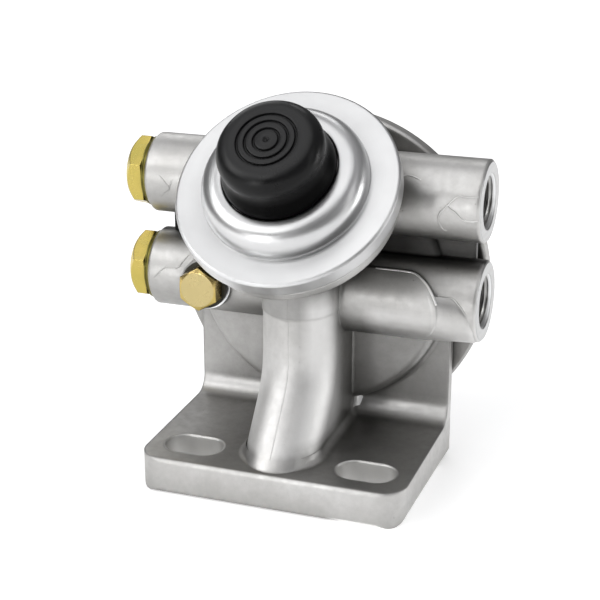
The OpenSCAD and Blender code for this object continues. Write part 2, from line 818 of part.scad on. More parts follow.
module rod_nut() {
    color("#9da0a2") pump_frame() translate([0, 0, nut_s]) difference() {
        hex_head(nut_af, nut_h, hex_bevel);
        translate([0, 0, -over]) cylinder(h = nut_h + 2 * over, r = rod_thread_r + thread_gap);
    }
}

module washer(outer_d, hole_r, t) {
    rim = 0.3;
    rotate_extrude() polygon([
        [hole_r, 0], [outer_d / 2 - rim, 0], [outer_d / 2, rim], [outer_d / 2, t - rim],
        [outer_d / 2 - rim, t], [hole_r, t]
    ]);
}

// A sealing washer with a groove round its edge
module grooved_washer(outer_d, hole_r, t) {
    rim = 0.3;
    groove = 0.5;
    outer_r = outer_d / 2;
    rotate_extrude() polygon([
        [hole_r, 0], [outer_r - rim, 0], [outer_r, rim], [outer_r, t * 0.5], [outer_r - groove, t * 0.55],
        [outer_r - groove, t * 0.65], [outer_r - rim, t * 0.7], [outer_r - rim, t * 0.95],
        [outer_r - groove, t], [hole_r, t]
    ]);
}

// A plug: hexagonal head, thread below it and a blind centre hole in the thread's end
module plug() {
    shank_r = port_r - thread_gap;
    union() {
        translate([0, 0, plug_washer_t]) rotate([0, 0, plug_turn]) hex_head(plug_af, plug_head_h, plug_bevel);
        translate([0, 0, plug_washer_t - plug_thread_len]) rotate_extrude() polygon([
            [0, 3], [3.5, 0], [shank_r - 1, 0], [shank_r, 1], [shank_r, plug_thread_len + 0.5],
            [0, plug_thread_len + 0.5]
        ]);
    }
}

module plug_upper() {
    color("#c9b45a") left_port_frame(upper_z) plug();
}

module plug_lower() {
    color("#c9b45a") left_port_frame(lower_z) plug();
}

module plug_washer_upper() {
    color("#5d5a2c") left_port_frame(upper_z) grooved_washer(plug_washer_d, port_r + washer_gap, plug_washer_t);
}

module plug_washer_lower() {
    color("#5d5a2c") left_port_frame(lower_z) grooved_washer(plug_washer_d, port_r + washer_gap, plug_washer_t);
}

module vent_screw() {
    r = vent_thread_d / 2;
    color("#c9b45a") vent_frame() union() {
        translate([0, 0, vent_washer_t]) rotate([0, 0, 30]) hex_head(vent_af, vent_head_h, hex_bevel);
        translate([0, 0, vent_washer_t - vent_thread_len]) rotate_extrude() polygon([
            [0, 0], [r - 2, 0], [r, 2], [r, vent_thread_len + 0.5], [0, vent_thread_len + 0.5]
        ]);
    }
}

module vent_washer() {
    color("#2a2a26") vent_frame() washer(vent_washer_d, vent_thread_d / 2 + washer_gap, vent_washer_t);
}

// The threaded spigot that the filter screws onto
module filter_spigot() {
    stem_r = stem_d / 2;
    thread_r = spigot_thread_d / 2;
    relief_r = thread_r - 1;
    neck_r = nose_d / 2 + 1.2;
    bore_r = spigot_bore_d / 2;
    color("#dcdedf") seat_frame() rotate_extrude() polygon([
        [bore_r, spigot_boss_y - stem_len + 0.5], [stem_r - 1, spigot_boss_y - stem_len + 0.5],
        [stem_r, spigot_boss_y - stem_len + 1.5], [stem_r, collar_y],
        [collar_d / 2 - 0.4, collar_y], [collar_d / 2, collar_y + 0.4],
        [collar_d / 2, thread_y - 1.2], [collar_d / 2 - 1.2, thread_y], [relief_r, thread_y],
        [relief_r, thread_y + 1], [thread_r, thread_y + 2], [thread_r, land_y - 1.2],
        [thread_r - 1.2, land_y], [neck_r + 0.5, land_y + land_len * 0.55], [neck_r, nose_y - 0.6],
        [nose_d / 2 - 0.2, nose_y], [nose_d / 2, nose_y + 0.8], [nose_d / 2, tip_y - 0.5],
        [nose_d / 2 - 0.5, tip_y], [bore_r + 0.5, tip_y], [bore_r, tip_y - 0.5]
    ]);
}

module spigot_seal() {
    rim = 0.6;
    color("#141414") seat_frame() translate([0, 0, spigot_boss_y]) rotate_extrude() polygon([
        [stem_d / 2 + thread_gap, 0], [seal_d / 2 - rim, 0], [seal_d / 2, rim], [seal_d / 2, seal_t - rim],
        [seal_d / 2 - rim, seal_t], [stem_d / 2 + thread_gap, seal_t]
    ]);
}

// Metal plate under the valves, with a hooked tab at its lower end
module valve_plate() {
    tab_w = 3.2;
    tab_angle = -78;
    tab_len = 1.7;
    hook_h = 2.2;
    color("#c3c6c8") union() {
        valve_layer(pad_y, valve_plate_t) difference() {
            valve_outline();
            translate([inlet_x, inlet_dz]) circle(rivet_d / 2 + thread_gap);
            for (k = [0:3]) {
                translate([inlet_x, inlet_dz]) rotate(45 + 90 * k) translate([2.9, 0]) circle(0.9);
            }
            translate([outlet_x, outlet_dz]) circle(valve_port_r);
        }
        translate([inlet_x, pad_y, seat_z + inlet_dz]) rotate([0, -tab_angle, 0]) {
            translate([lobe_r - 1, 0, -tab_w / 2]) cube([1 + tab_len, valve_plate_t, tab_w]);
            translate([lobe_r + tab_len - valve_plate_t, 0, -tab_w / 2]) cube([valve_plate_t, hook_h, tab_w]);
        }
    }
}

// Rubber sheet with the inlet flap cut free in it by two curved slots
module valve_membrane() {
    slot_out = flap_r + flap_slot_w;
    arm_w = 3;
    arm_angle = 15;
    color("#191919") valve_layer(plate_top_y, membrane_t) difference() {
        valve_outline(-membrane_inset);
        translate([inlet_x, inlet_dz]) difference() {
            circle(slot_out);
            circle(flap_r);
            rotate(arm_angle) square([2 * slot_out + 1, arm_w], center = true);
        }
        translate([inlet_x, inlet_dz]) circle(rivet_d / 2 + thread_gap);
        translate([outlet_x, outlet_dz]) circle(disc_r + disc_rim_gap);
    }
}

module valve_rivet() {
    color("#c8a84a") translate([inlet_x, 0, seat_z + inlet_dz]) rotate([-90, 0, 0])
        rotate_extrude() polygon([
            [0, pad_y - rivet_tail_h], [rivet_tail_r, pad_y - rivet_tail_h], [rivet_tail_r, pad_y],
            [rivet_d / 2, pad_y], [rivet_d / 2, membrane_top_y], [rivet_head_r, membrane_top_y],
            [rivet_head_r, membrane_top_y + rivet_head_h * 0.5],
            [rivet_head_r * 0.7, membrane_top_y + rivet_head_h], [rivet_head_r * 0.35, membrane_top_y + rivet_head_h],
            [0, membrane_top_y + rivet_head_h * 0.4]
        ]);
}

module outlet_valve_housing() {
    inner_r = housing_r - housing_wall;
    dish_r = 4.6;
    dish_depth = 0.5;
    color("#161617") translate([outlet_x, 0, seat_z + outlet_dz]) rotate([-90, 0, 0]) difference() {
        rotate_extrude() polygon([
            [0, roof_y], [inner_r, roof_y], [inner_r, membrane_top_y], [housing_r, membrane_top_y],
            [housing_r, housing_top_y - 1.4], [housing_r - 1.2, housing_top_y - 0.3],
            [housing_r - 2.6, housing_top_y], [dish_r, housing_top_y],
            [dish_r - 0.4, housing_top_y - dish_depth], [0, housing_top_y - dish_depth]
        ]);
        translate([0, 0, roof_y - over]) cylinder(h = housing_roof + 2 * over, r = window_r, $fn = 6);
    }
}

module outlet_valve_disc() {
    rim = 0.2;
    color("#262626") translate([outlet_x, disc_seat_y, seat_z + outlet_dz]) rotate([-90, 0, 0])
        rotate_extrude() polygon([
            [0, 0], [disc_r - rim, 0], [disc_r, rim], [disc_r, valve_disc_t - rim],
            [disc_r - rim, valve_disc_t], [0, valve_disc_t]
        ]);
}

module outlet_valve_spring() {
    foot_y = disc_seat_y + valve_disc_t + disc_seat_gap;
    free = roof_y - foot_y - disc_seat_gap;
    color("#a0a3a5") translate([outlet_x, foot_y, seat_z + outlet_dz]) rotate([-90, 0, 0])
        coil_spring(free, valve_spring_r, valve_spring_wire, 1, valve_spring_r + 1.4);
}

head_casting();
pump_cover();
push_cap();
plunger_rod();
rod_seal();
return_spring();
diaphragm();
diaphragm_plate_upper();
diaphragm_plate_lower();
rod_nut();
plug_upper();
plug_washer_upper();
plug_lower();
plug_washer_lower();
vent_screw();
vent_washer();
filter_spigot();
spigot_seal();
valve_plate();
valve_membrane();
valve_rivet();
outlet_valve_housing();
outlet_valve_disc();
outlet_valve_spring();
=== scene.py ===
import math

import bpy
import numpy as np
from mathutils import Matrix, Vector


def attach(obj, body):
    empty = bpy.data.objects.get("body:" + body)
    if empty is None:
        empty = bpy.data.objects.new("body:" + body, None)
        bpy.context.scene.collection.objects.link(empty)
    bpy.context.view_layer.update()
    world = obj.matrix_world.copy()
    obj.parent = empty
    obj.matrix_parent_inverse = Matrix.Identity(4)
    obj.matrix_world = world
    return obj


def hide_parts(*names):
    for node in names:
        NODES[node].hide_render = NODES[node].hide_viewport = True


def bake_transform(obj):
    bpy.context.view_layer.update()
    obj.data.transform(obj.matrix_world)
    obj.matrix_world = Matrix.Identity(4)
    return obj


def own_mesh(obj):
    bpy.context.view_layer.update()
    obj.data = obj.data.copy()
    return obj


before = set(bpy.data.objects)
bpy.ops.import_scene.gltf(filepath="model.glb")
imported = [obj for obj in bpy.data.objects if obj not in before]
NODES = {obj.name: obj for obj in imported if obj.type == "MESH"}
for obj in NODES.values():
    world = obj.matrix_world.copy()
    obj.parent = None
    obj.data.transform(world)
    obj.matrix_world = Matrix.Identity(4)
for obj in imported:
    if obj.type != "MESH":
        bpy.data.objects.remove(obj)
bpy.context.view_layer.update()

MM = 0.001

# Frames of the sub-assemblies, in millimetres, as in the solids
PUMP_TILT = 47.0
PUMP_AT = Vector((0, -41, 102))
PUMP_AXIS = Vector((0, -math.cos(math.radians(PUMP_TILT)), math.sin(math.radians(PUMP_TILT))))
SEAT_AT, SEAT_AXIS = Vector((0, 0, 62)), (0, 1, 0)
GALLERY_Y, GALLERY_R, GALLERY_HALF, GALLERY_AXIS = -10.0, 13.5, 57.5, (1, 0, 0)
UPPER_Z, LOWER_Z = 94.0, 60.5
THREAD_PITCH = 1.5


def frame_matrix(origin, axis, side=(1, 0, 0)):
    """A frame whose local z runs along axis, from an origin in millimetres."""
    z = Vector(axis).normalized()
    x = (Vector(side) - z * Vector(side).dot(z)).normalized()
    y = z.cross(x)
    m = Matrix((x, y, z)).transposed().to_4x4()
    m.translation = Vector(origin) * MM
    return m


PUMP = frame_matrix(PUMP_AT, PUMP_AXIS)
SEAT = frame_matrix(SEAT_AT, SEAT_AXIS)


# Materials -----------------------------------------------------------------
# Colours are linear RGB. Inside a material, places and distances are in metres.

NOISE_LOW, NOISE_HIGH = 0.3, 0.7
FLAT_OUTER, FLAT_INNER = 0.0002, 0.0001


def colour(value):
    """A socket as it is, or RGB with an alpha of 1."""
    return value if isinstance(value, bpy.types.NodeSocket) else (*value, 1.0)


def scaled(tone, factor):
    """A colour, darker or brighter."""
    return tuple(v * factor for v in tone)


class Graph:
    """A material's node tree, with short calls that return sockets."""

    def __init__(self, name, roughness, metallic=0.0, **constants):
        self.material = bpy.data.materials.new(name)
        self.material.use_nodes = True
        self.tree = self.material.node_tree
        self.shader = self.tree.nodes["Principled BSDF"]
        self.shader.inputs["Metallic"].default_value = metallic
        self.shader.inputs["Roughness"].default_value = roughness
        for key, value in constants.items():
            self.shader.inputs[key.replace("_", " ")].default_value = value
        self.place = self.add("TexCoord").outputs["Object"]

    def add(self, kind, *values, **settings):
        node = self.tree.nodes.new("ShaderNode" + kind)
        for key, value in settings.items():
            setattr(node, key, value)
        for socket, value in zip(node.inputs, values):
            self.put(socket, value)
        return node

    def put(self, socket, value):
        if isinstance(value, bpy.types.NodeSocket):
            self.tree.links.new(value, socket)
        else:
            socket.default_value = value

    def math(self, op, a, b=0.0):
        return self.add("Math", a, b, operation=op).outputs[0]

    def product(self, first, *others):
        for other in others:
            first = self.math("MULTIPLY", first, other)
        return first

    def greatest(self, first, *others):
        for other in others:
            first = self.math("MAXIMUM", first, other)
        return first

    def vector(self, op, a, b=(0, 0, 0)):
        node = self.add("VectorMath", a, b, operation=op)
        return node.outputs["Value"] if op in ("DOT_PRODUCT", "LENGTH") else node.outputs[0]

    def remap(self, value, low, high, to_low, to_high):
        return self.add("MapRange", value, low, high, to_low, to_high, clamp=True).outputs[0]

    def step(self, value, zero_at, one_at):
        """0 up to the first limit and 1 from the second, with a soft edge between them."""
        return self.remap(value, zero_at, one_at, 0.0, 1.0)

    def spread(self, noise, low=0.0, high=1.0):
        """The middle of a noise, where most of it lies, stretched over a range."""
        return self.remap(noise, NOISE_LOW, NOISE_HIGH, low, high)

    def region(self, *limits):
        """1 inside all limits; each is a value with the two limits of a soft step."""
        return self.product(*[self.step(*limit) for limit in limits])

    def spot(self, centre, radii):
        """1 on a round face that looks along y: near its axis, and in the plane of its centre."""
        radius, along = self.away_from(centre, SEAT_AXIS)
        return self.region((radius, *radii), (self.math("ABSOLUTE", along), FLAT_OUTER, FLAT_INNER))

    def noise(self, scale, detail=3, roughness=0.6):
        node = self.add("TexNoise", noise_dimensions="3D")
        self.put(node.inputs["Vector"], self.place)
        node.inputs["Scale"].default_value = scale
        node.inputs["Detail"].default_value = detail
        node.inputs["Roughness"].default_value = roughness
        return node.outputs[0]

    def rings(self, radius, scale):
        """Fine lines that a lathe leaves round an axis."""
        node = self.add("TexNoise", noise_dimensions="1D")
        self.put(node.inputs["W"], radius)
        node.inputs["Scale"].default_value = scale
        node.inputs["Detail"].default_value = 2.0
        return node.outputs[0]

    def blend(self, factor, a, b):
        """From colour a to colour b."""
        node = self.add("Mix", data_type="RGBA")
        self.put(node.inputs[0], factor)
        self.put(node.inputs[6], colour(a))
        self.put(node.inputs[7], colour(b))
        return node.outputs[2]

    def mix(self, factor, a, b):
        """From number a to number b."""
        node = self.add("Mix", data_type="FLOAT")
        self.put(node.inputs[0], factor)
        self.put(node.inputs[2], a)
        self.put(node.inputs[3], b)
        return node.outputs[0]

    def normal_parts(self):
        """How much the surface looks along +x, +y and +z."""
        return self.add("SeparateXYZ", self.add("NewGeometry").outputs["Normal"]).outputs

    def away_from(self, origin, axis):
        """Distance from an axis, and distance along it, from an origin in millimetres."""
        offset = self.vector("SUBTRACT", self.place, tuple(Vector(origin) * MM))
        along = self.vector("DOT_PRODUCT", offset, tuple(axis))
        shift = self.add("VectorMath", tuple(axis), operation="SCALE")
        self.put(shift.inputs["Scale"], along)
        across = self.vector("SUBTRACT", offset, shift.outputs[0])
        return self.vector("LENGTH", across), along

    def bump(self, height, strength, distance, normal):
        node = self.add("Bump")
        node.inputs["Strength"].default_value = strength
        node.inputs["Distance"].default_value = distance
        self.put(node.inputs["Height"], height)
        self.put(node.inputs["Normal"], normal)
        return node.outputs[0]

    def soft_edges(self, radius, samples=4):
        node = self.add("Bevel", samples=samples)
        self.put(node.inputs["Radius"], radius)
        return node.outputs[0]

    def unshaded(self, distance, closed, alone=False):
        """1 on open surfaces, 0 in corners as closed as the limit, where painted shade goes; alone: no shade from
        other pieces.
        """
        node = self.add("AmbientOcclusion", samples=6, only_local=alone)
        node.inputs["Distance"].default_value = distance
        return self.step(node.outputs["AO"], closed, 1.0)

    def finish(self, colour_socket, roughness=None, normal=None):
        self.put(self.shader.inputs["Base Color"], colour_socket)
        if roughness is not None:
            self.put(self.shader.inputs["Roughness"], roughness)
        if normal is not None:
            self.put(self.shader.inputs["Normal"], normal)
        return self.material


# The casting's skin: its tones, among them painted shade for corners, hollows and port bores and painted light for
# the seat cavity; the axis of its leg and the middle line of its two foot slots
SKIN = {
    "dull": (0.475, 0.468, 0.455), "clean": (0.60, 0.595, 0.585), "mottle": (0.40, 0.395, 0.385),
    "pit": (0.22, 0.215, 0.205), "corner_shade": (0.13, 0.125, 0.115), "shadow": (0.05, 0.048, 0.045),
    "cavity": (0.74, 0.735, 0.725), "groove": (0.80, 0.805, 0.81), "ridge": (0.88, 0.885, 0.89),
    "port": (0.20, 0.195, 0.18), "tube_end": (0.45, 0.45, 0.445),
}
# Strengths of mottling, pits, painted shade in corners and painted light in the seat cavity; then of the painted
# shadow in hollows, outside and inside the cavity; then how far each painted shade looks and how closed a corner
# must be
MOTTLING, PITTING, CORNER_SHADING, CAVITY_LIGHTING = 0.30, 0.5, 0.6, 0.55
SHADE, CAVITY_SHADE = 0.58, 0.12
CORNER_REACH, CORNER_CLOSED, HOLLOW_REACH, HOLLOW_CLOSED = 0.012, 0.2, 0.060, 0.10
LEG_AT, LEG_AXIS = (0, -27, 58), Vector((0, -0.0956, 0.9954))
SLOT_X, SLOT_Y, SLOT_HALF_RUN = 0.02975, -0.0485, 0.0035

# Soft limits of the machined faces and of the cavity: where each mask is 0 and where it is 1
TUBE_END, SEAT_FACE = (0.05712, 0.05722), (0.00700, 0.00708)
CUP_BORE_R, CUP_BORE_Y = (0.0386, 0.0383), (0.0050, 0.0052)
CAVITY_R, CAVITY_Y = (0.0381, 0.0378), (-0.0100, -0.0090)
PORT_R, PORT_FROM, PORT_INSIDE = (0.0094, 0.0093), (0.0400, 0.0401), (0.0572, 0.0560)
DRAIN_AT, DRAIN_R = (0, -4, 35), (0.0072, 0.0071)
VENT_AT, VENT_R, VENT_HALF = (-35, -24.7, LOWER_Z), (0.0089, 0.0088), (-0.0955, -0.0925)

# Patches of painted shade and painted light, darker or brighter than the rest of the skin, each laid over those
# before it:
# a strength, a colour, and the soft limits inside which it lies.
# A limit is a coordinate of cast_coordinates, where the patch is 0 and where it is 1.
# A strength is a number, a coordinate, or a coordinate with two places and the strengths there.
PAINTED_PATCHES = {
    # Painted shade on the leg's neck, below the pump flange
    "neck": (0.55, (0.14, 0.138, 0.134), [
        ("from_leg", 0.0145, 0.0135), ("up_leg", 0.0, 0.0004), ("up_leg", 0.030, 0.026),
        ("y", -0.030, -0.031)]),
    # Painted shade on the top of the foot
    "foot_top": (0.42, (0.16, 0.155, 0.148), [("upward", 0.85, 0.97), ("z", 0.0150, 0.0146)]),
    # Painted light on faces that look down
    "underside": ("lift", (0.93, 0.925, 0.915), [("upward", 0.02, -0.45)]),
    # Painted light on the front of the leg, stronger low down
    "leg": (("z", 0.0350, 0.0520, 0.40, 0.12), (0.88, 0.875, 0.865), [
        ("y", -0.0220, -0.0300), ("z", 0.0680, 0.0600), ("z", 0.0152, 0.0170)]),
    # Painted shade on faces that look down at the left-hand end
    "left_underside": (0.42, (0.20, 0.197, 0.19), [
        ("x", -0.0300, -0.0400), ("upward", 0.15, -0.40), ("y", 0.0030, 0.0000)]),
    # Painted highlight on the right side of the leg
    "leg_side": (0.68, (0.88, 0.875, 0.865), [
        ("rightward", 0.30, 0.60), ("y", -0.0200, -0.0340), ("z", 0.0175, 0.0200), ("z", 0.0660, 0.0600)]),
    # Painted shade on the front of the back plate, right of the rib
    "plate_side": (0.35, (0.12, 0.118, 0.114), [
        ("x", 0.0140, 0.0200), ("y", -0.0125, -0.0105), ("y", 0.0020, 0.0010),
        ("z", 0.0200, 0.0225), ("z", 0.0520, 0.0480), ("rearward", -0.3, -0.8)]),
    # Painted highlight along the fillet between foot and back plate
    "foot_band": (0.35, (0.80, 0.795, 0.785), [
        ("y", -0.0125, -0.0105), ("z", 0.0205, 0.0185), ("z", 0.0136, 0.0142)]),
    # Painted light on the walls of the foot's slots
    "slot_wall": (0.7, (0.80, 0.795, 0.78), [("from_slot", 0.0072, 0.0067), ("z", 0.0150, 0.0145)]),
    # Painted shade, near black, on the front of the web between the tubes
    "web": (("x", 0.0300, 0.0450, 0.97, 0.82), (0.014, 0.0135, 0.013), [
        ("y", -0.0130, -0.0112), ("y", -0.0045, -0.0050), ("z", 0.0690, 0.0720), ("z", 0.0862, 0.0832),
        ("rearward", 0.3, 0.0)]),
}


def cast_coordinates(g):
    """What the masks of the casting are made of: places, distances, and parts of the surface's normal."""
    x, y, z = g.add("SeparateXYZ", g.place).outputs
    rightward, rearward, upward = g.normal_parts()
    aside = g.math("ABSOLUTE", x)
    from_seat, _ = g.away_from(SEAT_AT, SEAT_AXIS)
    from_leg, up_leg = g.away_from(LEG_AT, LEG_AXIS)
    past_slot_run = g.math("SUBTRACT", g.math("ABSOLUTE", g.math("SUBTRACT", aside, SLOT_X)), SLOT_HALF_RUN)
    slot_dx, slot_dy = g.math("MAXIMUM", past_slot_run, 0.0), g.math("SUBTRACT", y, SLOT_Y)
    from_slot = g.math("SQRT", g.math("ADD", g.product(slot_dx, slot_dx), g.product(slot_dy, slot_dy)))
    # How strongly painted light brightens faces that look down: much below the saddle, less towards the tube's end,
    # little elsewhere
    under_saddle = g.region((x, 0.020, 0.026), (z, 0.0660, 0.0640), (y, -0.0105, -0.0120))
    lift = g.mix(under_saddle, 0.05, g.remap(x, 0.0400, 0.0500, 0.97, 0.40))
    return {
        "x": x, "y": y, "z": z, "aside": aside, "from_seat": from_seat, "from_leg": from_leg, "up_leg": up_leg,
        "from_slot": from_slot, "rightward": rightward, "rearward": rearward, "upward": upward, "lift": lift,
    }


def machined_faces(g, at):
    """Masks of the casting's turned faces and bores: all of them, the port bores alone, the tube ends alone."""
    ends = g.step(at["aside"], *TUBE_END)
    seat = g.step(at["y"], *SEAT_FACE)
    cup_bore = g.region((at["from_seat"], *CUP_BORE_R), (at["y"], *CUP_BORE_Y))
    drain = g.spot(DRAIN_AT, DRAIN_R)
    lower_right_half = g.step(g.math("SUBTRACT", at["x"], at["z"]), *VENT_HALF)
    vent = g.product(g.spot(VENT_AT, VENT_R), lower_right_half)
    bores = [g.step(g.away_from((0, GALLERY_Y, height), GALLERY_AXIS)[0], *PORT_R) for height in (UPPER_Z, LOWER_Z)]
    port = g.product(g.greatest(*bores), g.step(at["aside"], *PORT_FROM))
    return g.greatest(ends, seat, cup_bore, drain, vent, port), port, ends


def cast_aluminium():
    """Tumbled casting skin with painted shade in its corners and hollows, patches of painted light and shade, and
    turned metal on its machined faces.
    """
    g = Graph("cast_aluminium_tumbled", metallic=1.0, roughness=0.4)
    at = cast_coordinates(g)
    machined, port, ends = machined_faces(g, at)
    blotch = g.noise(45)
    grain = g.noise(1500, detail=2)
    fine = g.noise(420, detail=4)
    pits = g.step(g.noise(700, detail=2, roughness=0.5), 0.74, 0.80)
    lines = g.rings(at["from_seat"], 2600)

    skin = g.blend(g.spread(blotch), SKIN["dull"], SKIN["clean"])
    skin = g.blend(g.product(g.step(fine, 0.35, 0.75), MOTTLING), skin, SKIN["mottle"])
    skin = g.blend(g.product(pits, PITTING), skin, SKIN["pit"])
    # Painted shade in corners
    skin = g.blend(g.unshaded(CORNER_REACH, CORNER_CLOSED), g.blend(CORNER_SHADING, skin, SKIN["corner_shade"]), skin)
    cavity = g.region((at["from_seat"], *CAVITY_R), (at["y"], *CAVITY_Y))
    shaded = g.blend(g.mix(cavity, SHADE, CAVITY_SHADE), skin, SKIN["shadow"])
    skin = g.blend(g.unshaded(HOLLOW_REACH, HOLLOW_CLOSED, alone=True), shaded, skin)
    # Painted light in the seat cavity
    skin = g.blend(g.product(cavity, CAVITY_LIGHTING), skin, SKIN["cavity"])
    masks = {}
    # Patches of painted shade and painted light
    for patch, (strength, tone, limits) in PAINTED_PATCHES.items():
        masks[patch] = g.region(*[(at[key], zero_at, one_at) for key, zero_at, one_at in limits])
        if isinstance(strength, tuple):
            strength = g.remap(at[strength[0]], *strength[1:])
        elif isinstance(strength, str):
            strength = at[strength]
        skin = g.blend(g.product(masks[patch], strength), skin, tone)

    turned_metal = g.blend(lines, SKIN["groove"], SKIN["ridge"])
    # Painted shade inside the port bores
    inside_port = g.product(port, g.step(at["aside"], *PORT_INSIDE))
    turned_metal = g.blend(g.product(inside_port, 0.75), turned_metal, SKIN["port"])
    turned_metal = g.blend(g.product(ends, 0.8), turned_metal, SKIN["tube_end"])

    leg_roughness, skin_roughness = g.spread(fine, 0.48, 0.58), g.spread(fine, 0.37, 0.48)
    rough = g.mix(machined, g.mix(masks["leg"], skin_roughness, leg_roughness), g.spread(lines, 0.28, 0.38))
    parting_line = g.region((at["aside"], 0.00032, 0.00012), (at["y"], -0.0385, -0.0395),
                            (at["z"], 0.0685, 0.0670), (at["z"], 0.0150, 0.0160))
    relief = g.math("ADD", g.product(grain, 0.35), g.product(fine, 0.8))
    relief = g.math("SUBTRACT", relief, pits)
    relief = g.math("ADD", relief, g.product(parting_line, 2.5))
    relief = g.mix(machined, relief, g.product(lines, 0.35))
    edges = g.soft_edges(g.mix(machined, 0.0014, 0.0003), samples=6)
    return g.finish(g.blend(machined, skin, turned_metal), rough, g.bump(relief, 0.35, 0.00012, edges))


def turned_aluminium(name, origin, axis, low, high, roughness, ring_scale, edge, groove, corner_shade=0.5, reach=0.006,
                     closed=0.2, streaks=0.0):
    """Turned metal, with painted shade in its corners. groove: depth of its lines; corner_shade: darkness of that
    painted shade; streaks: drag of highlights.
    """
    g = Graph(name, metallic=1.0, roughness=roughness, Anisotropic=streaks)
    if streaks:
        outward = g.vector("SUBTRACT", g.place, tuple(Vector(origin) * MM))
        around = g.vector("CROSS_PRODUCT", tuple(axis), outward)
        g.put(g.shader.inputs["Tangent"], g.vector("NORMALIZE", around))
    radius, along = g.away_from(origin, axis)
    lines = g.rings(g.math("ADD", radius, g.product(along, 0.7)), ring_scale)
    cloud = g.noise(70)
    base = g.blend(lines, low, high)
    base = g.blend(g.product(g.step(cloud, 0.45, 0.75), 0.2), base, scaled(low, 0.8))
    # Painted shade in corners
    base = g.blend(g.unshaded(reach, closed), g.blend(corner_shade, base, (0.2, 0.2, 0.2)), base)
    half_each = g.math("ADD", g.product(lines, 0.5), g.product(cloud, 0.5))
    rough = g.spread(half_each, roughness - 0.05, roughness + 0.06)
    return g.finish(base, rough, g.bump(lines, groove, 0.00008, g.soft_edges(edge)))


def black_rubber(name, roughness, tint, shine=0.3, cap=False):
    """Rubber with a fine grain; cap: painted shade, near black, on the push cap's skirt with less shine there, and
    a paler crown top that leaves painted shade in its ring grooves.
    """
    g = Graph(name, roughness=roughness, IOR=1.5, Specular_IOR_Level=shine)
    cloud = g.noise(90, detail=4)
    grain = g.noise(2600, detail=2, roughness=0.5)
    base = g.blend(g.step(cloud, 0.3, 0.75), tint, scaled(tint, 1.9))
    if cap:
        _, along = g.away_from(PUMP_AT, PUMP_AXIS)
        # Painted shade: the skirt near black, with less shine there
        skirt = g.step(along, 0.0195, 0.0135)
        base = g.blend(skirt, base, (0.0012, 0.0012, 0.0013))
        # Paler on the crown's open top, which leaves painted shade in its ring grooves
        crown = g.product(g.step(along, 0.0237, 0.0244), g.unshaded(0.0016, 0.45))
        base = g.blend(crown, base, (0.021, 0.021, 0.0215))
        g.put(g.shader.inputs["Specular IOR Level"], g.mix(skirt, shine, 0.03))
    rough = g.spread(cloud, roughness - 0.06, roughness + 0.08)
    return g.finish(base, rough, g.bump(grain, 0.2, 0.00006, g.soft_edges(0.0004)))


def yellow_zinc(name, face, warm=0.0, dark=1.0, pale=0.0):
    """Yellow zinc plate with painted shade on faces that look down and in corners; face says whether a hexagon's
    outer face looks left (end) or to the front (front); an end hexagon gets painted light on faces that look back
    and painted shade on its end face.
    """
    g = Graph(name, metallic=1.0, roughness=0.24)
    cloud = g.noise(75, roughness=0.55)
    streak = g.noise(300)
    gold = scaled((0.70, 0.545 - warm * 0.06 + pale, 0.155 - warm * 0.03 + pale), dark)
    green = scaled((0.60, 0.50 - warm * 0.05, 0.13 + pale), dark)
    light = scaled((0.80, 0.66, 0.26 + pale), dark)
    base = g.blend(g.step(cloud, 0.35, 0.65), gold, green)
    base = g.blend(g.product(g.step(streak, 0.5, 0.8), 0.25), base, light)
    rightward, rearward, upward = g.normal_parts()
    # Painted shade on faces that look down
    base = g.blend(g.product(g.step(upward, 0.10, -0.55), 0.6), base, (0.30, 0.235, 0.055))
    if face == "end":
        # Painted light on faces that look back, and painted shade on the end face that looks left
        base = g.blend(g.product(g.step(rearward, 0.20, 0.60), 0.7), base, (0.86, 0.78, 0.38))
        base = g.blend(g.step(rightward, -0.90, -0.98), base, (0.33, 0.335, 0.075))
    else:
        # Darker tan on the face that looks to the front
        base = g.blend(g.step(rearward, -0.90, -0.98), base, (0.47, 0.385, 0.185))
    # Painted shade in corners
    base = g.blend(g.unshaded(0.003, 0.2), g.blend(0.6, base, (0.10, 0.09, 0.03)), base)
    rough = g.spread(streak, 0.19, 0.31)
    return g.finish(base, rough, g.bump(streak, 0.04, 0.0001, g.soft_edges(0.0005, samples=6)))


def plain_metal(name, low, high, roughness, grain_scale=500):
    """Metal that clouds vary between two colours, with a fine grain."""
    g = Graph(name, metallic=1.0, roughness=roughness)
    cloud = g.noise(110)
    grain = g.noise(grain_scale)
    rough = g.spread(grain, roughness - 0.06, roughness + 0.08)
    base = g.blend(g.spread(cloud), low, high)
    return g.finish(base, rough, g.bump(grain, 0.15, 0.00008, g.soft_edges(0.0003)))


def black_plastic():
    """Moulded plastic with a faint sheen."""
    g = Graph("black_moulded_plastic", roughness=0.4, IOR=1.48, Specular_IOR_Level=0.2)
    grain = g.noise(3000, detail=2, roughness=0.5)
    cloud = g.noise(140)
    base = g.blend(cloud, (0.004, 0.004, 0.0045), (0.008, 0.008, 0.0085))
    return g.finish(base, g.spread(cloud, 0.32, 0.46), g.bump(grain, 0.15, 0.00005, g.soft_edges(0.0003)))


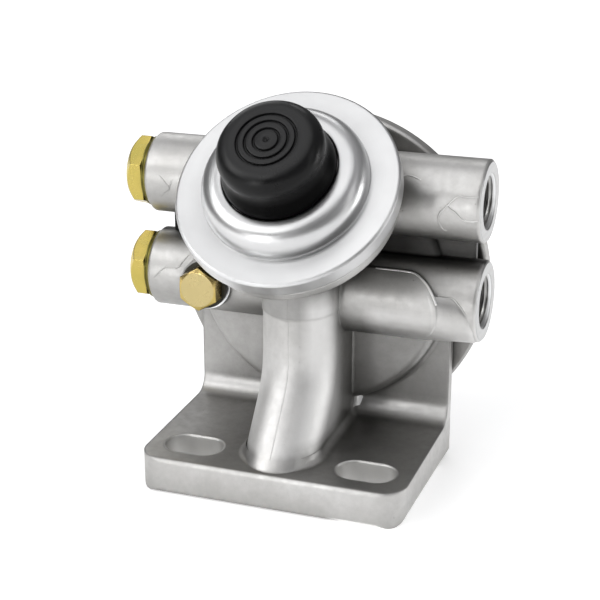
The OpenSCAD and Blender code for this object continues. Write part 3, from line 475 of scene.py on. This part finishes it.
CAST = cast_aluminium()
COVER = turned_aluminium(
    "fine_turned_cover", PUMP_AT, PUMP_AXIS, (0.60, 0.602, 0.604), (0.635, 0.637, 0.639),
    roughness=0.32, ring_scale=2600, edge=0.0008, groove=0.03, streaks=0.55)
SPIGOT = turned_aluminium(
    "bright_turned_spigot", SEAT_AT, SEAT_AXIS, (0.93, 0.935, 0.94), (0.97, 0.975, 0.98),
    roughness=0.31, ring_scale=3600, edge=0.0003, groove=0.12, corner_shade=0.97, reach=0.0014, closed=0.5)
CAP_RUBBER = black_rubber("push_cap_rubber", 0.30, (0.0042, 0.0042, 0.0044), shine=0.17, cap=True)
SEAL_RUBBER = black_rubber("seal_rubber", 0.5, (0.010, 0.010, 0.010))
MEMBRANE_RUBBER = black_rubber("membrane_rubber", 0.46, (0.004, 0.004, 0.0042), shine=0.12)
DARK = black_rubber("dark_washer", 0.5, (0.02, 0.019, 0.013))
ZINC = yellow_zinc("yellow_zinc_plate", "end", dark=0.88)
VENT_ZINC = yellow_zinc("vent_screw_zinc", "front", warm=1.0, dark=0.82, pale=0.05)
OLIVE = plain_metal("olive_chromate_washer", (0.10, 0.088, 0.022), (0.20, 0.18, 0.05), 0.36)
STEEL = plain_metal("bright_valve_steel", (0.66, 0.67, 0.68), (0.80, 0.81, 0.82), 0.38)
WIRE = plain_metal("drawn_spring_wire", (0.40, 0.41, 0.42), (0.52, 0.53, 0.54), 0.3, grain_scale=1500)
BRASS = plain_metal("brass_rivet", (0.62, 0.54, 0.19), (0.82, 0.74, 0.34), 0.2)
# A paler metal for fillets, beads and ledges: painted highlight
PAINTED_HIGHLIGHT_METAL = plain_metal("painted_highlight_edge", (0.70, 0.695, 0.685), (0.80, 0.795, 0.785), 0.34)
FLASH = plain_metal("mould_flash", (0.40, 0.395, 0.385), (0.72, 0.715, 0.705), 0.44)
PLASTIC = black_plastic()

DRESS = {
    "head_casting": CAST, "pump_cover": COVER, "plunger_rod": STEEL, "rod_seal": SEAL_RUBBER,
    "return_spring": WIRE, "diaphragm": MEMBRANE_RUBBER, "diaphragm_plate_upper": STEEL,
    "diaphragm_plate_lower": STEEL, "rod_nut": STEEL, "plug_upper": ZINC, "plug_lower": ZINC,
    "plug_washer_upper": OLIVE, "plug_washer_lower": OLIVE, "vent_screw": VENT_ZINC, "vent_washer": DARK,
    "spigot_seal": SEAL_RUBBER, "valve_plate": STEEL, "valve_membrane": MEMBRANE_RUBBER,
    "valve_rivet": BRASS, "outlet_valve_housing": PLASTIC, "outlet_valve_disc": MEMBRANE_RUBBER,
    "outlet_valve_spring": WIRE, "push_cap": CAP_RUBBER, "filter_spigot": SPIGOT,
}
for name, material in DRESS.items():
    mesh = NODES[name].data
    mesh.materials.clear()
    mesh.materials.append(material)


# Meshes --------------------------------------------------------------------
# Shapes are in millimetres.

def make_mesh(name, vertices, faces, material, body, angle):
    """A piece that rides on a body; edges sharper than angle stay sharp."""
    mesh = bpy.data.meshes.new(name)
    mesh.from_pydata([tuple(v) for v in vertices], [], faces)
    mesh.validate()
    mesh.update()
    for polygon in mesh.polygons:
        polygon.use_smooth = True
    mesh.set_sharp_from_angle(angle=math.radians(angle))
    mesh.materials.append(material)
    piece = bpy.data.objects.new(name, mesh)
    bpy.context.scene.collection.objects.link(piece)
    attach(piece, body)
    return piece


def cast_strip(name, points, faces, material=None):
    """A thin piece on the casting."""
    make_mesh(name, points, faces, material or CAST, "head", 60)


def grid_faces(rows, columns, loop_rows=False, loop_columns=False, inward=False):
    """Quads between neighbouring points, stored row by row; inward makes them face the other way."""
    faces = []
    for i in range(rows if loop_rows else rows - 1):
        j = (i + 1) % rows
        for k in range(columns if loop_columns else columns - 1):
            n = (k + 1) % columns
            quad = (i * columns + k, i * columns + n, j * columns + n, j * columns + k)
            faces.append((quad[0], quad[3], quad[2], quad[1]) if inward else quad)
    return faces


def on_circle(place, radius, angle, height):
    """A point about the local z of place."""
    return place @ Vector((radius * math.cos(angle) * MM, radius * math.sin(angle) * MM, height * MM))


def fillet(cx, cy, r, start, end, count=6):
    """Points of an arc between two angles in degrees."""
    return [(cx + r * math.cos(math.radians(start + (end - start) * i / count)),
             cy + r * math.sin(math.radians(start + (end - start) * i / count))) for i in range(count + 1)]


def smooth_curve(points, count):
    """A smooth curve through points of two numbers each, with count steps from one to the next."""
    p = [np.array(points[0])] + [np.array(q) for q in points] + [np.array(points[-1])]
    out = []
    for i in range(1, len(p) - 2):
        for t in np.linspace(0, 1, count, endpoint=False):
            out.append(0.5 * (2 * p[i] + (p[i + 1] - p[i - 1]) * t
                              + (2 * p[i - 1] - 5 * p[i] + 4 * p[i + 1] - p[i + 2]) * t ** 2
                              + (3 * p[i] - p[i - 1] - 3 * p[i + 1] + p[i + 2]) * t ** 3))
    out.append(p[-1])
    return [tuple(q) for q in out]


def push_cap():
    """The rubber push cap, turned, with three ring grooves and a centre dot in its crown."""
    base, top, crown_radius, crown_fillet = 8.2, 24.6, 11.3, 5.5
    groove_floor, lip = top - 0.9, 0.08
    wall, skirt_inside, inner_radius = 3.2, 0.3, 14.8
    around = 144
    side = smooth_curve([(18.05, base + skirt_inside), (18.05, 9.2), (17.85, 10.6), (17.4, 12.2), (16.95, 13.8),
                         (16.6, 15.2), (16.45, 16.4), (16.52, 17.5), (16.74, 18.4)], 4)
    crown = fillet(crown_radius, top - crown_fillet, crown_fillet, 0, 90, 14)
    rings = []
    for r in (9.15, 6.65, 3.95):
        outer_half = [(0.62, top), (0.46, top - lip), (0.32, groove_floor + lip), (0.15, groove_floor)]
        rings += [(r + offset, height) for offset, height in outer_half]
        rings += [(r - offset, height) for offset, height in reversed(outer_half)]
    centre = [(1.1, top), (0.75, top - 0.45), (0.45, top - 0.5), (0.25, top - 0.2), (0.02, top - 0.15)]
    under = [(0.02, top - wall), (inner_radius, top - wall), (inner_radius, base + skirt_inside), (15.1, base),
             (17.75, base)]
    profile = side + crown + rings + centre + under
    turn = np.linspace(0, 2 * math.pi, around, endpoint=False)
    points = [on_circle(PUMP, r, a, h) for r, h in profile for a in turn]
    faces = grid_faces(len(profile), around, loop_rows=True, loop_columns=True)
    piece = make_mesh("push_cap_rubber", points, faces, CAP_RUBBER, "plunger", 50)
    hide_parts("push_cap")


def thread_wave(height, turn, crest, flank):
    """0 in a thread's root and 1 on its crest, at a height and a share of a full turn."""
    phase = (height / THREAD_PITCH - turn) % 1.0
    return min(1.0, max(0.0, crest - abs(phase - 0.5) * flank))


def spigot():
    """The threaded spigot: a helical thread that runs out at both ends, on a turned body."""
    collar, thread, land, nose, tip = 3.5, 8.3, 20.3, 28.1, 36.1
    crest, root, relief = 13.5, 12.55, 12.5
    around, rows_per_turn = 120, 10
    run_in, run_out = 1.3, 1.6
    start, end = thread + 0.9, land - 0.3
    rows = [(6.9, -11.5), (9.0, -11.5), (10.0, -10.5), (10.0, collar), (15.9, collar), (16.3, collar + 0.4),
            (16.3, thread - 1.3), (15.2, thread - 0.1), (14.9, thread), (relief, thread), (relief, start)]
    steps = int((end - start) / THREAD_PITCH * rows_per_turn)
    rows += [("thread", start + (end - start) * i / steps) for i in range(1, steps)]
    rows += [(relief, land - 0.25), (12.1, land), (11.7, land + 4.2), (11.35, land + 4.5), (11.35, nose - 0.5),
             (10.9, nose - 0.1), (10.25, nose), (10.2, nose + 0.8), (10.2, tip - 0.6), (9.7, tip - 0.05),
             (9.5, tip), (7.7, tip), (7.4, tip - 0.08), (6.9, tip - 0.6)]
    points = []
    for r, h in rows:
        for k in range(around):
            radius = r
            if r == "thread":
                wave = thread_wave(h, k / around, 1.55, 3.9)
                fade = min(1.0, (h - start) / run_in, (end - h) / run_out)
                radius = relief + (root - relief + (crest - root) * wave) * max(0.0, fade)
            points.append(on_circle(SEAT, radius, 2 * math.pi * k / around, h))
    faces = grid_faces(len(rows), around, loop_rows=True, loop_columns=True)
    piece = make_mesh("spigot_threaded", points, faces, SPIGOT, "head", 28)
    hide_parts("filter_spigot")


def port_thread(name, height):
    """The thread inside an open port, which fades at both ends."""
    place = frame_matrix((GALLERY_HALF, GALLERY_Y, height), GALLERY_AXIS, (0, 1, 0))
    around, rows_per_turn = 72, 8
    low, high, root, depth = -15.4, -1.0, 8.17, 0.85
    steps = int((high - low) / THREAD_PITCH * rows_per_turn)
    points = []
    for i in range(steps + 1):
        h = low + (high - low) * i / steps
        fade = max(0.0, min(1.0, high - h, h - low))
        for k in range(around):
            r = root - depth * thread_wave(h, k / around, 1.5, 3.8) * fade
            points.append(on_circle(place, r, 2 * math.pi * k / around, h))
    faces = grid_faces(steps + 1, around, loop_columns=True, inward=True)
    make_mesh(name, points, faces, CAST, "head", 28)


push_cap()
spigot()
port_thread("port_thread_upper", UPPER_Z)
port_thread("port_thread_lower", LOWER_Z)


def casting_line(name, route, height, rise, width=0.55, depth=GALLERY_Y, material=None):
    """A faint raised line on a tube. Its route's points are x and an angle: 0 at the front, 90 at the top."""
    sunk, flat, fade_points = -0.12, 0.45, 3
    path = smooth_curve(route, 5)
    last = len(path) - 1
    points = []
    for i, (x, angle) in enumerate(path):
        a = math.radians(angle)
        back, ahead = path[max(0, i - 1)], path[min(last, i + 1)]
        run = Vector((ahead[0] - back[0], math.radians(ahead[1] - back[1]) * GALLERY_R)).normalized()
        top = rise * min(1.0, i / fade_points, (last - i) / fade_points)
        for side, lift in ((-1, sunk), (-flat, top), (flat, top), (1, sunk)):
            px = x - run[1] * side * width / 2
            pa = a + run[0] * side * width / 2 / GALLERY_R
            r = GALLERY_R + lift
            points.append(Vector((px, depth - r * math.cos(pa), height + r * math.sin(pa))) * MM)
    cast_strip(name, points, grid_faces(len(path), 4), material)


# Lines that the mould left on the tubes
MOULD_LINES = {
    "upper_left": (UPPER_Z, [(-51.8, 10), (-49.7, 1), (-48.0, -9), (-50.3, -17), (-52.3, -25)]),
    "upper_left_arm": (UPPER_Z, [(-48.2, -9), (-47.4, -1), (-46.6, 6)]),
    "lower_left": (LOWER_Z, [
        (-54.9, -2), (-52.8, 7), (-50.7, 15), (-48.3, 16), (-45.9, 17), (-44.2, 28), (-42.0, 41)]),
    "upper_right_arc": (UPPER_Z, [(29.0, 38), (32.8, 41), (35.0, 40), (37.6, 36)]),
    "upper_right": (UPPER_Z, [(44.7, -6), (46.8, 4), (48.3, 11), (50.5, 19), (52.9, 18), (56.9, 20)]),
    "upper_right_arm": (UPPER_Z, [(46.4, 7), (47.6, 2), (49.8, -4), (51.9, -13), (54.5, -15), (57.0, -13)]),
    "upper_right_outer": (UPPER_Z, [(46.0, 1), (44.7, -6), (44.1, -17), (45.2, -31), (46.6, -35)]),
    "lower_right": (LOWER_Z, [(44.6, 20), (46.0, 17), (49.3, 18), (52.2, 8), (54.6, -6)]),
}
for line, (height, route) in MOULD_LINES.items():
    if "left" in line:
        casting_line("mould_line_" + line, route, height, rise=0.15)
    else:
        casting_line("mould_line_" + line, route, height, rise=0.22, width=0.7, material=FLASH)


def corner_strip(name, side):
    """A concave strip up the corner of rib and back plate, which widens at the foot."""
    corner_x, corner_y, low, flare, high = 12.5, -5.0, 16.0, 25.0, 46.5
    thin, wide, proud = 0.9, 4.6, 0.03
    flare_rows, arc = 8, 8
    heights = [low + (flare - low) * k / flare_rows for k in range(flare_rows)] + [flare, high]
    points = []
    for z in heights:
        open_out = max(0.0, (flare - z) / (flare - low))
        r = thin + (wide - thin) * open_out ** 1.5
        for k in range(arc + 1):
            a = math.pi / 2 * (1 + k / arc)
            px, py = corner_x + r + (r + proud) * math.cos(a), corner_y - r + (r + proud) * math.sin(a)
            points.append(Vector((side * px, py, z)) * MM)
    faces = grid_faces(len(heights), arc + 1)
    cast_strip(name, points, [face[::-1] for face in faces] if side > 0 else faces, PAINTED_HIGHLIGHT_METAL)


def rib_bead(name, side):
    """A fine upright bead in the corner between the leg's rib and the back plate."""
    corner_x, corner_y, low, high, r, arc = 12.6, -5.1, 23.5, 46.8, 0.62, 8
    first_angle, sweep = -120, 150
    points = []
    for z in (low, high):
        for k in range(arc + 1):
            a = math.radians(first_angle + sweep * k / arc)
            points.append(Vector((side * (corner_x + r * math.cos(a)), corner_y + r * math.sin(a), z)) * MM)
    faces = grid_faces(2, arc + 1)
    cast_strip(name, points, [face[::-1] for face in faces] if side < 0 else faces, PAINTED_HIGHLIGHT_METAL)


def saddle_fairing():
    """The saddle's end below its ledge, drawn out into the lower tube."""
    step, drop, end_x, end_r, end_z = 2.6, 0.6, 33.5, 12.0, 59.2
    overlap, proud, rise, sunk_edge, sunk_start = 2.5, 0.06, 0.42, 0.6, 0.2
    across = 18
    angles = list(range(18, -111, -3))
    reach = [(-110, 56.6), (-30, 56.4), (-15, 55.4), (-3, 54.2), (8, 52.2), (14, 50.6), (18, 49.3)]
    points = []
    for angle in angles:
        a = math.radians(angle)
        offset = step * math.cos(a) - drop * math.sin(a)
        saddle = offset + math.sqrt(GALLERY_R ** 2 - step ** 2 - drop ** 2 + offset ** 2)
        rim = end_x + math.sqrt(max(0.0, end_r ** 2 - (LOWER_Z + saddle * math.sin(a) - end_z) ** 2))
        start = rim - overlap
        end = float(np.interp(angle, [q[0] for q in reach], [q[1] for q in reach]))
        for k in range(across + 1):
            u = k / across
            ease = u * u * (2.2 - 1.2 * u)
            r = saddle + proud + (GALLERY_R + rise - saddle - proud) * ease
            if k == 0:
                r -= sunk_start
            if k == across:
                r -= sunk_edge
            x = start + (end - start) * u
            points.append(Vector((x, GALLERY_Y - r * math.cos(a), LOWER_Z + r * math.sin(a))) * MM)
    cast_strip("saddle_fairing", points, grid_faces(len(angles), across + 1, inward=True))


# Corner strips, beads and the saddle's ledge in a paler metal as painted highlight, and the saddle's end
corner_strip("rib_corner_right", 1)
corner_strip("rib_corner_left", -1)
rib_bead("rib_bead_right", 1)
rib_bead("rib_bead_left", -1)
saddle_fairing()
SADDLE_LEDGE = [(23, 56.3), (28, 56.5), (33.5, 56.3), (36.2, 54.5), (38.6, 48.3), (41.2, 38), (43.3, 26),
                (44.6, 17), (45.0, 12)]
casting_line("saddle_ledge", SADDLE_LEDGE, 59.9, rise=0.2, width=0.9, depth=-12.6, material=PAINTED_HIGHLIGHT_METAL)


def soft_copy(node, name):
    """A copy of a solid's mesh, which takes the solid's place."""
    piece = bpy.data.objects.new(name, NODES[node].data.copy())
    bpy.context.scene.collection.objects.link(piece)
    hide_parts(node)
    return piece


def spring(node, name):
    """A copy of a coil with a mesh of its own, which rides on the head and takes the solid's place."""
    piece = soft_copy(node, name)
    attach(piece, "head")
    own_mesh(piece)


spring("return_spring", "return_spring_coil")
spring("outlet_valve_spring", "outlet_valve_spring_coil")
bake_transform(soft_copy("diaphragm", "diaphragm_flexing"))


# Floor, lights and camera, in metres -----------------------------------------

def floor():
    """A pale floor that glows more, the further it is from the part."""
    half, level = 6.0, -0.0002
    near_glow, far_glow, near, far = (0.43, 0.43, 0.43), (0.80, 0.80, 0.80), 0.30, 0.90
    g = Graph("pale_floor", roughness=0.75)
    tone = g.noise(3, detail=2, roughness=0.5)
    glow = g.step(g.vector("LENGTH", g.place), near, far)
    g.put(g.shader.inputs["Emission Color"], g.blend(glow, near_glow, far_glow))
    g.shader.inputs["Emission Strength"].default_value = 1.0
    g.finish(g.blend(tone, (0.84, 0.84, 0.84), (0.87, 0.87, 0.87)))
    corners = [(-half, -half, level), (half, -half, level), (half, half, level), (-half, half, level)]
    mesh = bpy.data.meshes.new("floor")
    mesh.from_pydata(corners, [], [(0, 1, 2, 3)])
    mesh.materials.append(g.material)
    plane = bpy.data.objects.new("floor", mesh)
    bpy.context.scene.collection.objects.link(plane)


def area_light(name, place, target, width, height, power):
    """A rectangular softbox that faces a point."""
    light = bpy.data.lights.new(name, "AREA")
    light.shape = "RECTANGLE"
    light.size, light.size_y, light.energy = width, height, power
    lamp = bpy.data.objects.new(name, light)
    lamp.location = place
    lamp.rotation_mode = "QUATERNION"
    lamp.rotation_quaternion = (Vector(target) - Vector(place)).to_track_quat("-Z", "Y")
    bpy.context.scene.collection.objects.link(lamp)


def surroundings():
    """White as the camera sees it; what the part mirrors is darker, and lighter towards the sky."""
    low, middle, high = (0.13, 0.13, 0.13, 1), (0.17, 0.17, 0.172, 1), (0.42, 0.42, 0.43, 1)
    middle_at, high_at = 0.35, 0.85
    world = bpy.data.worlds.new("studio")
    bpy.context.scene.world = world
    world.use_nodes = True
    tree = world.node_tree
    tree.nodes.clear()
    direction = tree.nodes.new("ShaderNodeTexCoord")
    split = tree.nodes.new("ShaderNodeSeparateXYZ")
    tree.links.new(direction.outputs["Generated"], split.inputs[0])
    ramp = tree.nodes.new("ShaderNodeValToRGB")
    stops = ramp.color_ramp.elements
    stops[0].position, stops[0].color = 0.0, low
    stops[1].position, stops[1].color = high_at, high
    stops.new(middle_at).color = middle
    tree.links.new(split.outputs[2], ramp.inputs[0])
    seen = tree.nodes.new("ShaderNodeLightPath")
    choose = tree.nodes.new("ShaderNodeMix")
    choose.data_type = "RGBA"
    tree.links.new(seen.outputs["Is Camera Ray"], choose.inputs[0])
    tree.links.new(ramp.outputs[0], choose.inputs[6])
    choose.inputs[7].default_value = (1, 1, 1, 1)
    background = tree.nodes.new("ShaderNodeBackground")
    tree.links.new(choose.outputs[2], background.inputs[0])
    out = tree.nodes.new("ShaderNodeOutputWorld")
    tree.links.new(background.outputs[0], out.inputs[0])


# Name, place, target, width, height and power
AREA_LIGHTS = (
    ("key_softbox", (-0.80, -0.62, 0.72), (0, 0, 0.06), 0.55, 0.60, 4.2),
    ("side_softbox", (1.05, -0.20, 0.50), (0, 0, 0.06), 0.22, 0.80, 0.9),
    ("rear_high_strip", (-0.10, 0.75, 0.95), (0, 0, 0.06), 0.30, 0.30, 0.6),
    ("front_strip", (-0.27, -0.80, 0.12), (0, -0.03, 0.05), 0.12, 0.36, 1.15),
    ("front_softbox", (-0.22, -0.86, 0.72), (0, -0.03, 0.06), 0.34, 0.34, 1.0),
    ("right_strip", (0.85, 0.30, 0.16), (0, -0.03, 0.05), 0.16, 0.36, 1.1),
    ("top_softbox", (0.0, -0.30, 1.12), (0, 0, 0), 1.2, 1.0, 4.4),
    ("rear_softbox", (-0.75, 0.85, 0.80), (0, 0, 0.06), 0.7, 0.5, 2.0),
)
CAMERA_AT, CAMERA_AIM = Vector((154.5, -452.9, 217.9)) * MM, Vector((-3, -20, 57)) * MM
LENS, SENSOR, CLIP_NEAR, CLIP_FAR = 88, 36, 0.01, 50

floor()
surroundings()
for light in AREA_LIGHTS:
    area_light(*light)

camera_data = bpy.data.cameras.new("camera")
camera_data.sensor_width = SENSOR
camera_data.lens = LENS
camera_data.clip_start, camera_data.clip_end = CLIP_NEAR, CLIP_FAR
camera = bpy.data.objects.new("camera", camera_data)
camera.location = CAMERA_AT
camera.rotation_mode = "QUATERNION"
camera.rotation_quaternion = (CAMERA_AIM - camera.location).to_track_quat("-Z", "Y")
bpy.context.scene.collection.objects.link(camera)
bpy.context.scene.camera = camera
bpy.context.scene.view_settings.view_transform = "Standard"
